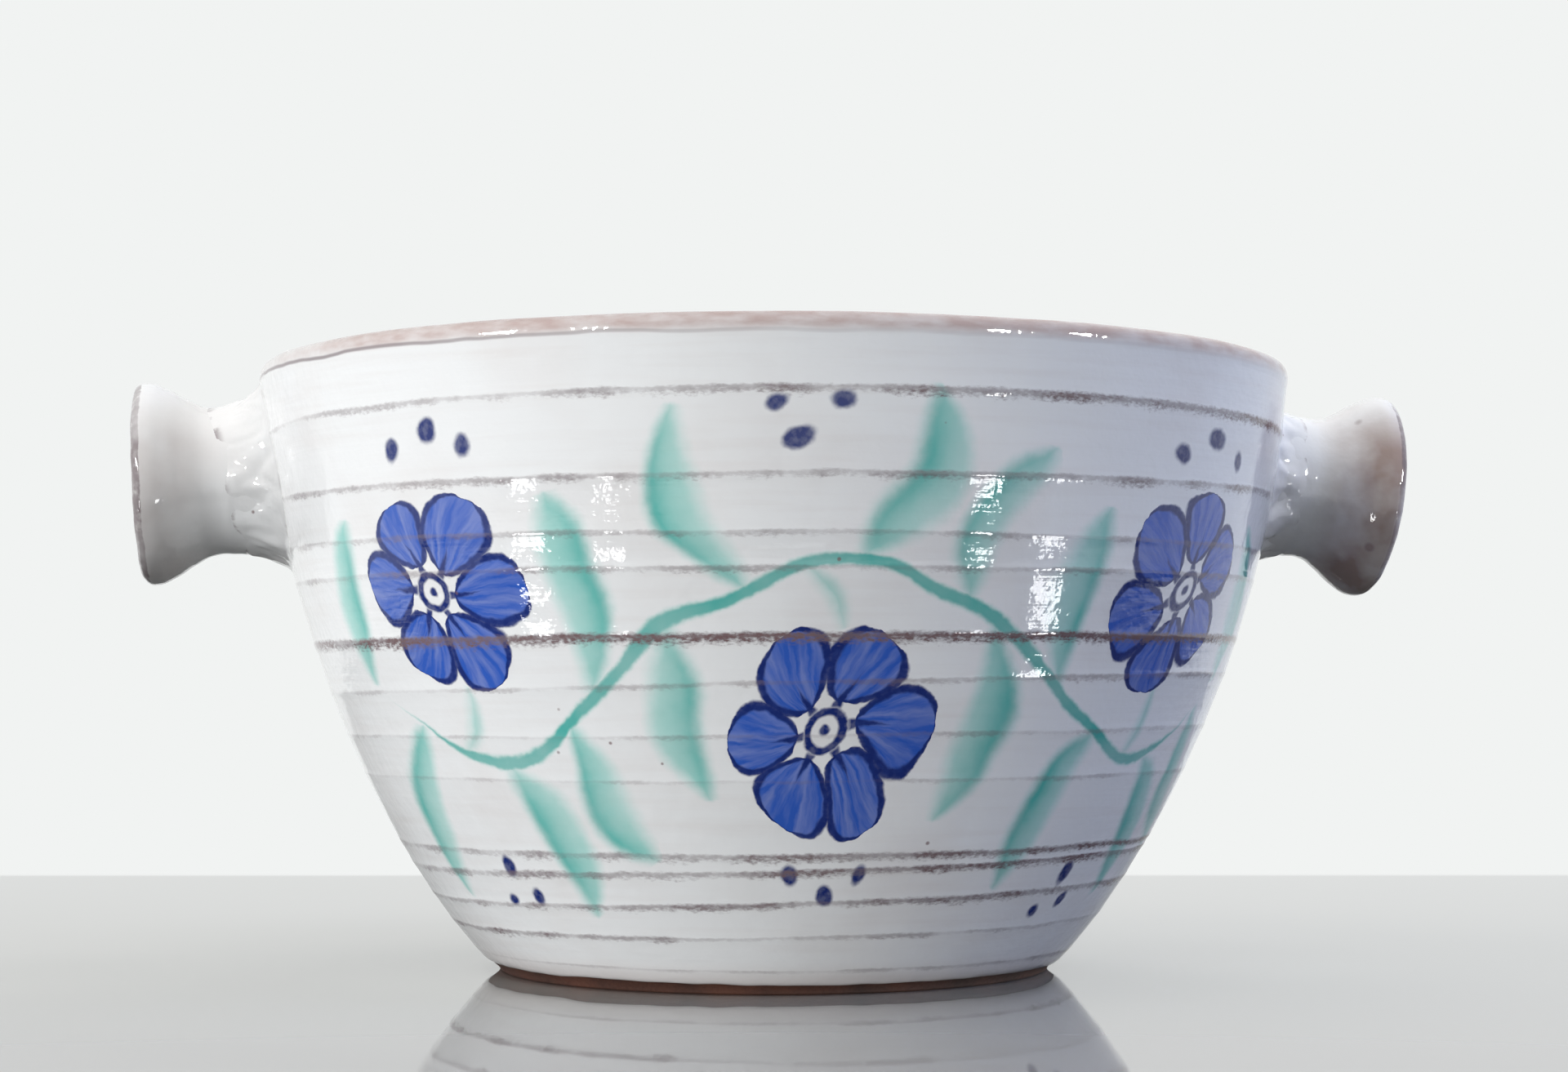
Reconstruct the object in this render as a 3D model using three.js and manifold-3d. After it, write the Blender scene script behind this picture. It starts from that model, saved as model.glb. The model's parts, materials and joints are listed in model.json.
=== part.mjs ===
// Wheel-thrown serving bowl with two flared lug handles. Millimetres, +Z up.
// The origin is the centre of the foot, on the surface that the bowl stands on.
// The handles point along +X and -X, and each is stuck on with a coil of soft clay round its root.
import * as THREE from "three";
import { mergeVertices } from "three/addons/utils/BufferGeometryUtils.js";
import Module from "manifold-3d";

const wasm = await Module();
wasm.setup();

// Bowl: overall sizes
const RIM_RADIUS = 100;
const BOWL_HEIGHT = 116;
const FOOT_RADIUS = 52.7;
const WALL = 5;
const FLOOR = 8;

// Bowl: the wall's curve leaves the foot low and flat, and arrives at the rim nearly upright
const FOOT_FLARE_ANGLE = 28;
const FOOT_FLARE_PULL = 10.6;
const RIM_LEAN_ANGLE = 4.7;
const RIM_LEAN_PULL = 62.4;

// Bowl: foot ring turned under the floor, and the sweep from the floor up into the wall
const FOOT_RING_WIDTH = 9;
const FOOT_RECESS = 2.5;
const FOOT_RECESS_SLOPE = 1.5;
const FLOOR_SWEEP = 16;

// Bowl: throwing rings left by the fingers, as depths below the rim, each a low ridge
const RING_DEPTHS = [12.5, 26.4, 35.9, 41.7, 53, 60.9, 69.5, 77.5, 90.4, 93.6, 99.1, 105, 111.5];
const RING_RIDGE = 0.25;
const BAND_HOLLOW = 0.15;

// Handles: a hollow spool with a waist and a flared open lip
const HANDLE_REACH = 25;
const ROOT_RADIUS = 15.5;
const WAIST_RADIUS = 14;
const WAIST_REACH = 10;
const LIP_EDGE = 4;
const BORE_RADIUS = 9.5;
const MOUTH_DEPTH = 13.5;

// Handles: each was thrown and set by hand, with its own lip, depth below the rim and droop
const RIGHT_LIP_RADIUS = 20.3;
const RIGHT_HANDLE_DEPTH = 20.4;
const RIGHT_HANDLE_DROOP = 7;
const LEFT_LIP_RADIUS = 19.4;
const LEFT_HANDLE_DEPTH = 21.6;
const LEFT_HANDLE_DROOP = 3;

// Luting coils: the clay ring that holds a handle on, climbing its root and feathered out on the bowl's wall
const RIGHT_COIL_REACH = 6.5;
const RIGHT_COIL_SPREAD = 2.4;
const LEFT_COIL_REACH = 9;
const LEFT_COIL_SPREAD = 3.4;
const COIL_EDGE = 0.5;

// Seam left between two pieces that touch
const SEAM = 0.3;

// How finely the round forms are cut
const BOWL_SEGMENTS = 72;
const HANDLE_SEGMENTS = 32;
const RIM_STEPS = 6;
const SWEEP_STEPS = 5;
const INNER_STEPS = 12;
const SPOOL_STEP = 2.4;
const LIP_STEPS = 6;

const rad = THREE.MathUtils.degToRad;
const point = (radius, along) => new THREE.Vector2(radius, along);

// Even steps between two places, both ends included
function steps(from, to, size) {
  const count = Math.max(2, Math.ceil(Math.abs(to - from) / size));
  return Array.from({ length: count + 1 }, (_, i) => from + ((to - from) * i) / count);
}

// Colours of the fired pieces
const tinGlaze = new THREE.MeshStandardMaterial({ color: 0xdfe2e3, roughness: 0.16, metalness: 0 });
const handleGlaze = new THREE.MeshStandardMaterial({ color: 0xd6d2cd, roughness: 0.18, metalness: 0 });
const coilGlaze = new THREE.MeshStandardMaterial({ color: 0xdad8d5, roughness: 0.2, metalness: 0 });

// The wall's outer curve, from the edge of the foot to the outside of the rim's round
const rimRound = WALL / 2;
const rimSide = point(RIM_RADIUS, BOWL_HEIGHT - rimRound);
const footEdge = point(FOOT_RADIUS, 0);
const footPull = point(Math.cos(rad(FOOT_FLARE_ANGLE)), Math.sin(rad(FOOT_FLARE_ANGLE)));
const rimPull = point(Math.sin(rad(RIM_LEAN_ANGLE)), Math.cos(rad(RIM_LEAN_ANGLE)));
const wallCurve = new THREE.CubicBezierCurve(
  footEdge,
  footEdge.clone().addScaledVector(footPull, FOOT_FLARE_PULL),
  rimSide.clone().addScaledVector(rimPull, -RIM_LEAN_PULL),
  rimSide,
);

// The place along the wall's curve, from 0 to 1, at a height above the foot
function wallPlace(height) {
  let low = 0;
  let high = 1;
  while (high - low > 1e-7) {
    const middle = (low + high) / 2;
    if (wallCurve.getPoint(middle).y < height) low = middle;
    else high = middle;
  }
  return low;
}

const wallRadius = (height) => wallCurve.getPoint(wallPlace(height)).x;

// The bowl's section: under the foot, up the ringed wall, over the rim, down the inside and along the floor
function bowlSection() {
  const ringInside = FOOT_RADIUS - FOOT_RING_WIDTH;
  const section = [
    point(0, FOOT_RECESS),
    point(ringInside - FOOT_RECESS_SLOPE, FOOT_RECESS),
    point(ringInside, 0),
    footEdge.clone(),
  ];

  // Each ring is a ridge, and the band under it is hollowed by the finger that made it
  const rings = RING_DEPTHS.map((depth) => BOWL_HEIGHT - depth).filter((height) => height > 0);
  rings.reverse();
  let below = 0;
  for (const height of rings) {
    const middle = (below + height) / 2;
    const hollow = below > 0 ? BAND_HOLLOW : 0;
    section.push(point(wallRadius(middle) - hollow, middle));
    section.push(point(wallRadius(height) + RING_RIDGE, height));
    below = height;
  }

  for (const turn of steps(0, Math.PI, Math.PI / RIM_STEPS)) {
    section.push(point(rimSide.x + rimRound * (Math.cos(turn) - 1), rimSide.y + rimRound * Math.sin(turn)));
  }

  // The inside is the wall's curve moved in by the wall, down to where the floor's sweep starts
  const inside = (place) => {
    const along = wallCurve.getTangent(place);
    return wallCurve.getPoint(place).add(point(-along.y, along.x).multiplyScalar(WALL));
  };
  const sweepPlace = wallPlace(FLOOR + FLOOR_SWEEP);
  for (let i = 1; i <= INNER_STEPS; i++) {
    section.push(inside(1 + ((sweepPlace - 1) * i) / INNER_STEPS));
  }
  const sweepTop = inside(sweepPlace);
  const lean = wallCurve.getTangent(sweepPlace);
  const corner = point(sweepTop.x - ((sweepTop.y - FLOOR) * lean.x) / lean.y, FLOOR);
  const sweepFoot = point(corner.x - corner.distanceTo(sweepTop), FLOOR);
  const sweep = new THREE.QuadraticBezierCurve(sweepTop, corner, sweepFoot);
  section.push(...sweep.getPoints(SWEEP_STEPS).slice(1));
  section.push(point(0, FLOOR));
  return section;
}

// A turned form about +Z
function turned(section, segments) {
  return new THREE.LatheGeometry(section, segments).rotateX(Math.PI / 2);
}

// A form turned about +Z, laid along a handle's own axis, which leaves the bowl's wall along +X and droops
function alongHandle(geometry, depth, droop) {
  const height = BOWL_HEIGHT - depth;
  return geometry.rotateY(Math.PI / 2 + rad(droop)).translate(wallRadius(height), 0, height);
}

// The spool's outside and bore, as radii along its axis from the bowl's wall
const lipReach = HANDLE_REACH - LIP_EDGE / 2;
const mouthReach = HANDLE_REACH - MOUTH_DEPTH;
function rootRadius(reach) {
  return WAIST_RADIUS + (ROOT_RADIUS - WAIST_RADIUS) * ((WAIST_REACH - reach) / WAIST_REACH) ** 2;
}
function flareRadius(reach, lipRadius) {
  const flare = THREE.MathUtils.smoothstep(reach, WAIST_REACH, lipReach);
  return THREE.MathUtils.lerp(WAIST_RADIUS, lipRadius, flare);
}
function spoolRadius(reach, lipRadius) {
  return reach < WAIST_REACH ? rootRadius(reach) : flareRadius(reach, lipRadius);
}
function boreRadius(reach, lipRadius) {
  const flare = THREE.MathUtils.smoothstep(reach, mouthReach, lipReach);
  return THREE.MathUtils.lerp(BORE_RADIUS, lipRadius - LIP_EDGE, flare);
}

// How far a root form starts inside the wall, so that the wall can cut it to a saddle
const rootDepth = WALL;

// The handle's section: along the outside, round the lip's edge, and back down the bore
function handleSection(lipRadius) {
  const root = steps(-rootDepth, WAIST_REACH, SPOOL_STEP).map((reach) => point(rootRadius(reach), reach));
  const flare = steps(WAIST_REACH, lipReach, SPOOL_STEP).map((reach) =>
    point(flareRadius(reach, lipRadius), reach),
  );
  const edge = LIP_EDGE / 2;
  const lip = steps(0, Math.PI, Math.PI / LIP_STEPS).map((turn) =>
    point(lipRadius + edge * (Math.cos(turn) - 1), lipReach + edge * Math.sin(turn)),
  );
  const mouth = steps(lipReach, mouthReach, SPOOL_STEP).map((reach) =>
    point(boreRadius(reach, lipRadius), reach),
  );
  const bore = [point(BORE_RADIUS, -rootDepth), root[0].clone()];
  return [...root, ...flare.slice(1), ...lip.slice(1), ...mouth.slice(1), ...bore];
}

// The coil's section: a fillet that runs out along the wall, over the handle's root
function coilSection(lipRadius, coilReach, coilSpread) {
  const places = steps(-rootDepth, coilReach, SPOOL_STEP);
  const inner = places.map((reach) => point(spoolRadius(reach, lipRadius) + SEAM, reach));
  const outer = inner.map(({ x, y }) => {
    const spread = coilSpread * ((coilReach - y) / coilReach) ** 2;
    return point(x + COIL_EDGE + spread, y);
  });
  return [...outer, ...inner.reverse(), outer[0].clone()];
}

// The bowl's outside as a plain solid, one seam larger, which cuts what is stuck on it to a saddle.
// It stands on past the rim, so that nothing of a root is left inside the bowl.
function wallCutter() {
  const clear = RING_RIDGE + SEAM;
  const top = BOWL_HEIGHT + ROOT_RADIUS;
  const places = steps(0, 1, 1 / INNER_STEPS);
  const outside = places.map((place) => wallCurve.getPoint(place).add(point(clear, 0)));
  return [point(0, 0), ...outside, point(rimSide.x + clear, top), point(0, top)];
}

function solid(geometry) {
  const bare = geometry.clone().deleteAttribute("normal").deleteAttribute("uv");
  const merged = mergeVertices(bare, 1e-4);
  const corners = [];
  for (let i = 0; i < merged.index.count; i += 3) {
    const triangle = [0, 1, 2].map((k) => merged.index.getX(i + k));
    if (new Set(triangle).size === 3) corners.push(...triangle);
  }
  return new wasm.Manifold(
    new wasm.Mesh({
      numProp: 3,
      vertProperties: merged.getAttribute("position").array,
      triVerts: new Uint32Array(corners),
    }),
  );
}

function geometryOf(body) {
  const made = body.getMesh();
  const geometry = new THREE.BufferGeometry();
  geometry.setAttribute("position", new THREE.BufferAttribute(made.vertProperties, made.numProp));
  geometry.setIndex(new THREE.BufferAttribute(made.triVerts, 1));
  geometry.computeVertexNormals();
  return geometry;
}

function piece(name, geometry, material) {
  const mesh = new THREE.Mesh(geometry, material);
  mesh.name = name;
  return mesh;
}

// What is stuck on the bowl is turned about its handle's axis and cut to the wall
const cutter = solid(turned(wallCutter(), BOWL_SEGMENTS));
function stuckOn(section, depth, droop) {
  const whole = solid(alongHandle(turned(section, HANDLE_SEGMENTS), depth, droop));
  return geometryOf(whole.subtract(cutter));
}

const bowl = new THREE.Group();
bowl.name = "handled_bowl";
bowl.add(piece("bowl_body", geometryOf(solid(turned(bowlSection(), BOWL_SEGMENTS))), tinGlaze));

function addLug(side, turn, lipRadius, depth, droop, coilReach, coilSpread) {
  const spool = handleSection(lipRadius);
  const coil = coilSection(lipRadius, coilReach, coilSpread);
  const lug = new THREE.Group();
  lug.name = `${side}_lug`;
  lug.rotation.z = turn;
  lug.add(piece(`${side}_handle`, stuckOn(spool, depth, droop), handleGlaze));
  lug.add(piece(`${side}_luting_coil`, stuckOn(coil, depth, droop), coilGlaze));
  bowl.add(lug);
}

addLug("right", 0, RIGHT_LIP_RADIUS, RIGHT_HANDLE_DEPTH, RIGHT_HANDLE_DROOP, RIGHT_COIL_REACH, RIGHT_COIL_SPREAD);
addLug("left", Math.PI, LEFT_LIP_RADIUS, LEFT_HANDLE_DEPTH, LEFT_HANDLE_DROOP, LEFT_COIL_REACH, LEFT_COIL_SPREAD);

export default bowl;
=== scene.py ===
import json
import math
from functools import partial
from math import cos, pi, radians, sin

import bpy
from mathutils import Euler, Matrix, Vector, noise
from mathutils.bvhtree import BVHTree

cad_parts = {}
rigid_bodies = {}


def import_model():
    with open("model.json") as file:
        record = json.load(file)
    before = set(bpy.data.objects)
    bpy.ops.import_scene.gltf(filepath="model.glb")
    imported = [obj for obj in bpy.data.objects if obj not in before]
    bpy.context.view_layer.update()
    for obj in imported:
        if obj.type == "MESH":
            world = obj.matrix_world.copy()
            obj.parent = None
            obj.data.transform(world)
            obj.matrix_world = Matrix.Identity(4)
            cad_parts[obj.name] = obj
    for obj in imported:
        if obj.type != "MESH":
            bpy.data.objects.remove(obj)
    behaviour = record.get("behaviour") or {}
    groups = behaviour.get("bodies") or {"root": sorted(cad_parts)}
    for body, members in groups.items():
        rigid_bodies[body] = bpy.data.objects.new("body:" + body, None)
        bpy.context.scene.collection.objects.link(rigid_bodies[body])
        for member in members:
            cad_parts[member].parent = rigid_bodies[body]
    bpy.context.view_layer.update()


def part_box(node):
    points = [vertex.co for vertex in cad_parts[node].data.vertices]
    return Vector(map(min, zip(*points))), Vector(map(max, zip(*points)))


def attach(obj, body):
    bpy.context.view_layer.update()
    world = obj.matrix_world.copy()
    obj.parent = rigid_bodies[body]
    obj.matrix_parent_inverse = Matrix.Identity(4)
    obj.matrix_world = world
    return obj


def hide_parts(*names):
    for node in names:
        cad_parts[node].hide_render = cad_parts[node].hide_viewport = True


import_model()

bl_info = {
    "name": "Handled bowl",
    "version": (1, 0, 0),
    "blender": (4, 5, 0),
    "location": "View3D > Sidebar > Handled bowl",
    "description": "Builds a thrown, tin-glazed bowl with two spool handles and its studio stage",
    "category": "Object",
}

MM = 0.001
TURN = 2 * pi
BOWL_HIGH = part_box("bowl_body")[1]

# The camera stands a little to the left of the painted front, so the rings are described from there
FRONT_TURN = radians(-7)
FRONT_ANGLE = FRONT_TURN - pi / 2

# Throwing rings from the foot up: height at the front, rise from left to right and lift at the sides, in
# millimetres, how strongly the glaze breaks brown on the ring, and how much stronger it does on the right
RINGS = (
    (4.6, 0.0, 0.0, 0.22, 0.16),
    (10.8, 0.7, 0.0, 0.42, -0.28),
    (16.9, 1.7, 0.0, 0.58, 0.1),
    (22.7, 1.95, 0.0, 0.62, 0.2),
    (25.6, 0.5, 0.0, 0.62, 0.3),
    (38.5, 0.4, 0.0, 0.16, 0.06),
    (46.3, 0.9, 0.0, 0.2, 0.06),
    (55.1, 2.0, 0.0, 0.26, 0.1),
    (63.0, 0.6, 0.0, 0.92, 0.12),
    (74.3, 0.3, 0.0, 0.32, 0.0),
    (80.1, -0.2, 0.0, 0.3, 0.0),
    (89.6, 0.7, 0.6, 0.5, 0.06),
    (103.5, 0.3, -1.6, 0.56, 0.34),
)
# Clay worked round each handle's root, in millimetres: how far it climbs the handle at the top and
# underneath, and how far it runs out on the wall at the top, at the sides and underneath
WORKED_CLAY = {
    "right": (6.5, 6.5, 1.8, 4.6, 3.0),
    "left": (12.0, 5.5, 4.0, 4.6, 3.4),
}

# Points round a turned form
BOWL_SEGMENTS, HANDLE_SEGMENTS = 288, 128
# Rows of the wall near a ring, as distances from it, and rows in the middle of the band between two rings
RING_ROWS = (0.0, 0.35, 0.8, 1.4)
BAND_ROWS = (0.32, 0.5, 0.68)
RING_HALF_WIDTH = 0.85
# Distance to a ring, in millimetres, that stands for no ring near
NO_RING = 9.0

# Numbers that each row of a turned profile carries to its surface for the materials
ROW_MARKS = ("ring_above", "ring_below", "power_above", "power_below", "lean_above", "lean_below",
             "outside", "along")
# Numbers that shape the turned rows: ridge height, tilt, sway, waviness, how fast the wall widens with
# height, how far it gives way out of round, and whether its clay is bare
ROW_SHAPES = ("ridge", "tilt", "sway", "wave", "slope", "give", "bare")


def linear(hex_colour):
    """An sRGB hex colour as linear red, green, blue and full alpha."""
    parts = [int(hex_colour[i:i + 2], 16) / 255 for i in (1, 3, 5)]
    return tuple(c / 12.92 if c <= 0.04045 else ((c + 0.055) / 1.055) ** 2.4 for c in parts) + (1.0,)


def length_property(name, description, default):
    return bpy.props.FloatProperty(name=name, description=description, default=default,
                                   subtype="DISTANCE", unit="LENGTH")


def colour_property(name, description, hex_colour):
    return bpy.props.FloatVectorProperty(name=name, description=description, size=4, min=0, max=1,
                                         default=linear(hex_colour), subtype="COLOR")


class BowlSizes(bpy.types.PropertyGroup):
    """Sizes of the thrown bowl"""
    rim_radius: length_property("Rim radius", "Outside of the rim", BOWL_HIGH.y)
    height: length_property("Height", "Foot to the top of the rim", BOWL_HIGH.z)
    foot_radius: length_property("Foot radius", "Outside of the foot", 52.7 * MM)
    wall: length_property("Wall", "Thickness of the wall and of the rounded rim", 5 * MM)
    floor: length_property("Floor", "Height of the inside floor over the table", 8 * MM)
    foot_ring: length_property("Foot ring", "Width of the ring the bowl stands on", 9 * MM)
    foot_recess: length_property("Foot recess", "Depth turned out under the floor", 2.5 * MM)
    ridge: length_property("Ring ridge", "How far a throwing ring stands out", 0.09 * MM)
    hollow: length_property("Band hollow", "How deep a finger hollowed each band", 0.06 * MM)
    out_of_round: length_property("Out of round", "How far the wall wanders from a true circle", 0.35 * MM)
    glaze_edge: length_property("Glaze edge", "Height where the glaze ends over the foot", 2.0 * MM)
    glaze_step: length_property("Glaze thickness", "Step from the bare clay up onto the glaze", 0.4 * MM)


class HandleSizes(bpy.types.PropertyGroup):
    """Sizes of the spool handles and the clay worked round them"""
    reach: length_property("Reach", "Bowl's wall to the end of the lip", 25 * MM)
    root_radius: length_property("Root radius", "Spool where it meets the wall", 15.5 * MM)
    waist_radius: length_property("Waist radius", "Narrowest place of the spool", 14 * MM)
    waist_reach: length_property("Waist reach", "Wall to the waist", 10 * MM)
    lip_edge: length_property("Lip edge", "Thickness of the rounded lip", 4 * MM)
    bore_radius: length_property("Bore radius", "Hollow through the spool", 9.5 * MM)
    mouth_depth: length_property("Mouth depth", "Depth of the flared mouth", 13.5 * MM)
    right_lip: length_property("Right lip", "Radius of the right handle's lip", 20.3 * MM)
    left_lip: length_property("Left lip", "Radius of the left handle's lip", 19.4 * MM)
    right_depth: length_property("Right depth", "Rim down to the right handle's axis", 20.4 * MM)
    left_depth: length_property("Left depth", "Rim down to the left handle's axis", 21.6 * MM)
    right_droop: bpy.props.FloatProperty(name="Right droop", description="Droop of the right handle",
                                         default=radians(7), subtype="ANGLE", unit="ROTATION")
    left_droop: bpy.props.FloatProperty(name="Left droop", description="Droop of the left handle",
                                        default=radians(3), subtype="ANGLE", unit="ROTATION")


class Finishes(bpy.types.PropertyGroup):
    """Colours of the fired clay, the glaze and the painting"""
    glaze: colour_property("Glaze", "Tin-white glaze where it lies thick", "#E6E7E7")
    glaze_thin: colour_property("Thin glaze", "Glaze where the clay shows through", "#CFC6C2")
    break_brown: colour_property("Break", "Brown of the glaze breaking over a ridge", "#786A6E")
    break_red: colour_property("Dark break", "Where the break is strongest", "#755A5A")
    rim_blush: colour_property("Rim blush", "Thin glaze on the rim", "#BAA6A1")
    # The handle blush colour also carries painted shade, laid stronger on the right handle and low down
    handle_blush: colour_property("Handle blush", "Thin glaze on the handles' flare", "#A28E86")
    # The clay colours are the earthenware's own, set darker as painted shade round the foot
    clay: colour_property("Clay", "Bare fired earthenware", "#573427")
    clay_dark: colour_property("Dark clay", "Toasted and damp-looking patches of it", "#291A15")
    leaf: colour_property("Leaf", "Copper green wash of the leaves", "#7CCBC0")
    leaf_dark: colour_property("Leaf edge", "Where the wash pooled", "#3AA098")
    blossom: colour_property("Blossom", "Cobalt wash in the petals", "#2F58B4")
    blossom_dark: colour_property("Blossom line", "Cobalt line round the petals", "#182A6C")


class StageSettings(bpy.types.PropertyGroup):
    """Floor and background"""
    floor: colour_property("Floor", "Pale satin floor near the bowl", "#A3A29F")
    floor_bounce: colour_property("Floor bounce", "What the floor throws up at the bowl", "#1E1F20")
    backdrop: colour_property("Backdrop", "Pale background", "#F1F3F2")


# Nodes

VECTOR_MATH = "ShaderNodeVectorMath"
RANGE = "ShaderNodeMapRange"
SMOOTHED = {"interpolation_type": "SMOOTHSTEP"}
NOISE = "ShaderNodeTexNoise"
SPLIT = "ShaderNodeSeparateXYZ"
JOIN = "ShaderNodeCombineXYZ"
# A Mix node for colours takes its share, low and high colour by these sockets and settings
MIX = "ShaderNodeMix"
SHARE, LOW, HIGH = 0, 6, 7
BLENDED = {"out": 2, "data_type": "RGBA"}
NUMBER = "NodeSocketFloat"


def plug(node, inputs):
    """Gives a node its inputs, by name or in order: sockets are linked and constants are set."""
    for key, value in inputs.items() if isinstance(inputs, dict) else enumerate(inputs):
        if isinstance(value, bpy.types.NodeSocket):
            node.id_data.links.new(value, node.inputs[key])
        else:
            node.inputs[key].default_value = value


def add_node(tree, kind, inputs=(), out=0, **settings):
    """Adds one node with its settings and inputs, and gives one output socket.

    A kind written in capitals is an operation of the Math node."""
    if kind.isupper():
        kind, settings["operation"] = "ShaderNodeMath", kind
    made = tree.nodes.new(kind)
    for name, value in settings.items():
        setattr(made, name, value)
    plug(made, inputs)
    return made.outputs[out]


def new_group(name, kind, inputs, outputs):
    """An empty node group with named sockets; gives the group, its inputs by name and its output node."""
    group = bpy.data.node_groups.new(name, kind)
    for direction, sockets in (("INPUT", inputs), ("OUTPUT", outputs)):
        for socket_name, socket_kind in sockets.items():
            group.interface.new_socket(name=socket_name, in_out=direction, socket_type=socket_kind)
    entry = group.nodes.new("NodeGroupInput")
    return group, entry.outputs, group.nodes.new("NodeGroupOutput")


# Turned forms

def thrown_form_tree():
    """Geometry Nodes: turns a profile as hands do, with tilted rings and a wall that wanders."""
    tree, given, result = new_group("thrown_form", "GeometryNodeTree", {
        "Profile": "NodeSocketGeometry", "Segments": "NodeSocketInt", "Front": NUMBER,
        "Out of Round": NUMBER, "Seed": NUMBER, "Axis Start": "NodeSocketVector",
        "Axis Turn": "NodeSocketVector", "Glaze": "NodeSocketMaterial", "Clay": "NodeSocketMaterial",
    }, {"Geometry": "NodeSocketGeometry"})
    add = partial(add_node, tree)
    profile = given["Profile"]
    rows = add("GeometryNodeAttributeDomainSize", [profile])
    columns = add("ADD", [given["Segments"], 1])
    grid = add("GeometryNodeMeshGrid", [1, 1, columns, rows])
    place = grid.node.outputs["UV Map"]

    # The row and the angle of each point come from the flat grid before it is bent round
    flat = add(SPLIT, [add("GeometryNodeInputPosition")])
    last_row = add("SUBTRACT", [rows, 1])
    row_share = add("ADD", [flat.node.outputs[1], 0.5])
    row_place = add("MULTIPLY", [row_share, last_row])
    row = add("ROUND", [row_place])
    angle = add("MULTIPLY", [flat, TURN])
    turn_sin = add("SINE", [angle])
    turn_cos = add("COSINE", [angle])

    def mark(name):
        """A number that the profile's row carries."""
        named = add("GeometryNodeInputNamedAttribute", {"Name": name}, data_type="FLOAT")
        return add("GeometryNodeSampleIndex", {"Geometry": profile, "Value": named, "Index": row},
                   data_type="FLOAT")

    row_spot = add("GeometryNodeSampleIndex", {
        "Geometry": profile, "Value": add("GeometryNodeInputPosition"), "Index": row},
        data_type="FLOAT_VECTOR")
    base = add(SPLIT, [row_spot])
    height = base.node.outputs[2]

    def wander(around, along, detail):
        """Smooth noise from -1 to 1 that closes on itself round the form."""
        sizes = ((turn_cos, around), (turn_sin, around), (height, along))
        spot = add(JOIN, [add("MULTIPLY", pair) for pair in sizes])
        cloud = add(NOISE, {"Vector": spot, "W": given["Seed"], "Scale": 1.0, "Detail": detail},
                    noise_dimensions="4D")
        return add(RANGE, [cloud, 0.25, 0.75, -1, 1], clamp=False)

    uneven = add("MULTIPLY_ADD", [wander(2.2, 90, 1.0), 0.45, 1.0])
    ridge = add("MULTIPLY", [mark("ridge"), uneven])
    give = add("MULTIPLY", [mark("give"), given["Out of Round"]])
    bulge = add("MULTIPLY", [give, wander(1.1, 22, 2.0)])
    tilt = add("MULTIPLY", [mark("tilt"), turn_sin])
    behind = add("SUBTRACT", [1, turn_cos])
    sway = add("MULTIPLY_ADD", [mark("sway"), behind, tilt])
    lift = add("MULTIPLY_ADD", [mark("wave"), wander(3.1, 60, 2.0), sway])
    lifted = add("ADD", [height, lift])

    # A row that is lifted slides along the wall, so a tilted ring leaves no step in the outline
    grown = add("ADD", [base, ridge])
    slid = add("MULTIPLY_ADD", [mark("slope"), lift, grown])
    off_axis = add("GREATER_THAN", [base, 1e-5])
    radius = add("MULTIPLY", [off_axis, add("ADD", [slid, bulge])])

    # The grid's middle column is the front
    heading = add("ADD", [angle, given["Front"]])
    x, y = (add("MULTIPLY", [radius, add(wave, [heading])]) for wave in ("COSINE", "SINE"))
    spot = add(JOIN, [x, y, lifted])
    form = add("GeometryNodeStoreNamedAttribute", {"Geometry": grid, "Name": "UVMap", "Value": place},
               data_type="FLOAT2", domain="CORNER")
    for name in ROW_MARKS + ("bare",):
        form = add("GeometryNodeStoreNamedAttribute", {"Geometry": form, "Name": name, "Value": mark(name)},
                   data_type="FLOAT", domain="POINT")
    form = add("GeometryNodeSetPosition", {"Geometry": form, "Position": spot})
    form = add("GeometryNodeMergeByDistance", {"Geometry": form, "Distance": 1e-6})
    form = add("GeometryNodeTransform", {"Geometry": form, "Rotation": given["Axis Turn"],
                                         "Translation": given["Axis Start"]})
    form = add("GeometryNodeSetShadeSmooth", {"Geometry": form, "Shade Smooth": True})
    form = add("GeometryNodeRealizeInstances", {"Geometry": form})
    form = add("GeometryNodeSetMaterial", {"Geometry": form, "Material": given["Glaze"]})
    bare = add("GeometryNodeInputNamedAttribute", {"Name": "bare"}, data_type="FLOAT")
    bare_face = add("GREATER_THAN", [bare, 0.75])
    form = add("GeometryNodeSetMaterial", {"Geometry": form, "Selection": bare_face,
                                           "Material": given["Clay"]})
    plug(result, [form])
    return tree


def placed(name, data):
    """A new object in the scene."""
    thing = bpy.data.objects.new(name, data)
    bpy.context.collection.objects.link(thing)
    return thing


def row(radius, height, **marks):
    """One point of a profile, in metres, with the marks it carries; no ring is near unless they say so."""
    return {"place": (radius, 0, height), "ring_above": NO_RING, "ring_below": NO_RING, **marks}


def shares(steps):
    """Even shares from 0 to 1."""
    return [step / steps for step in range(steps + 1)]


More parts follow.
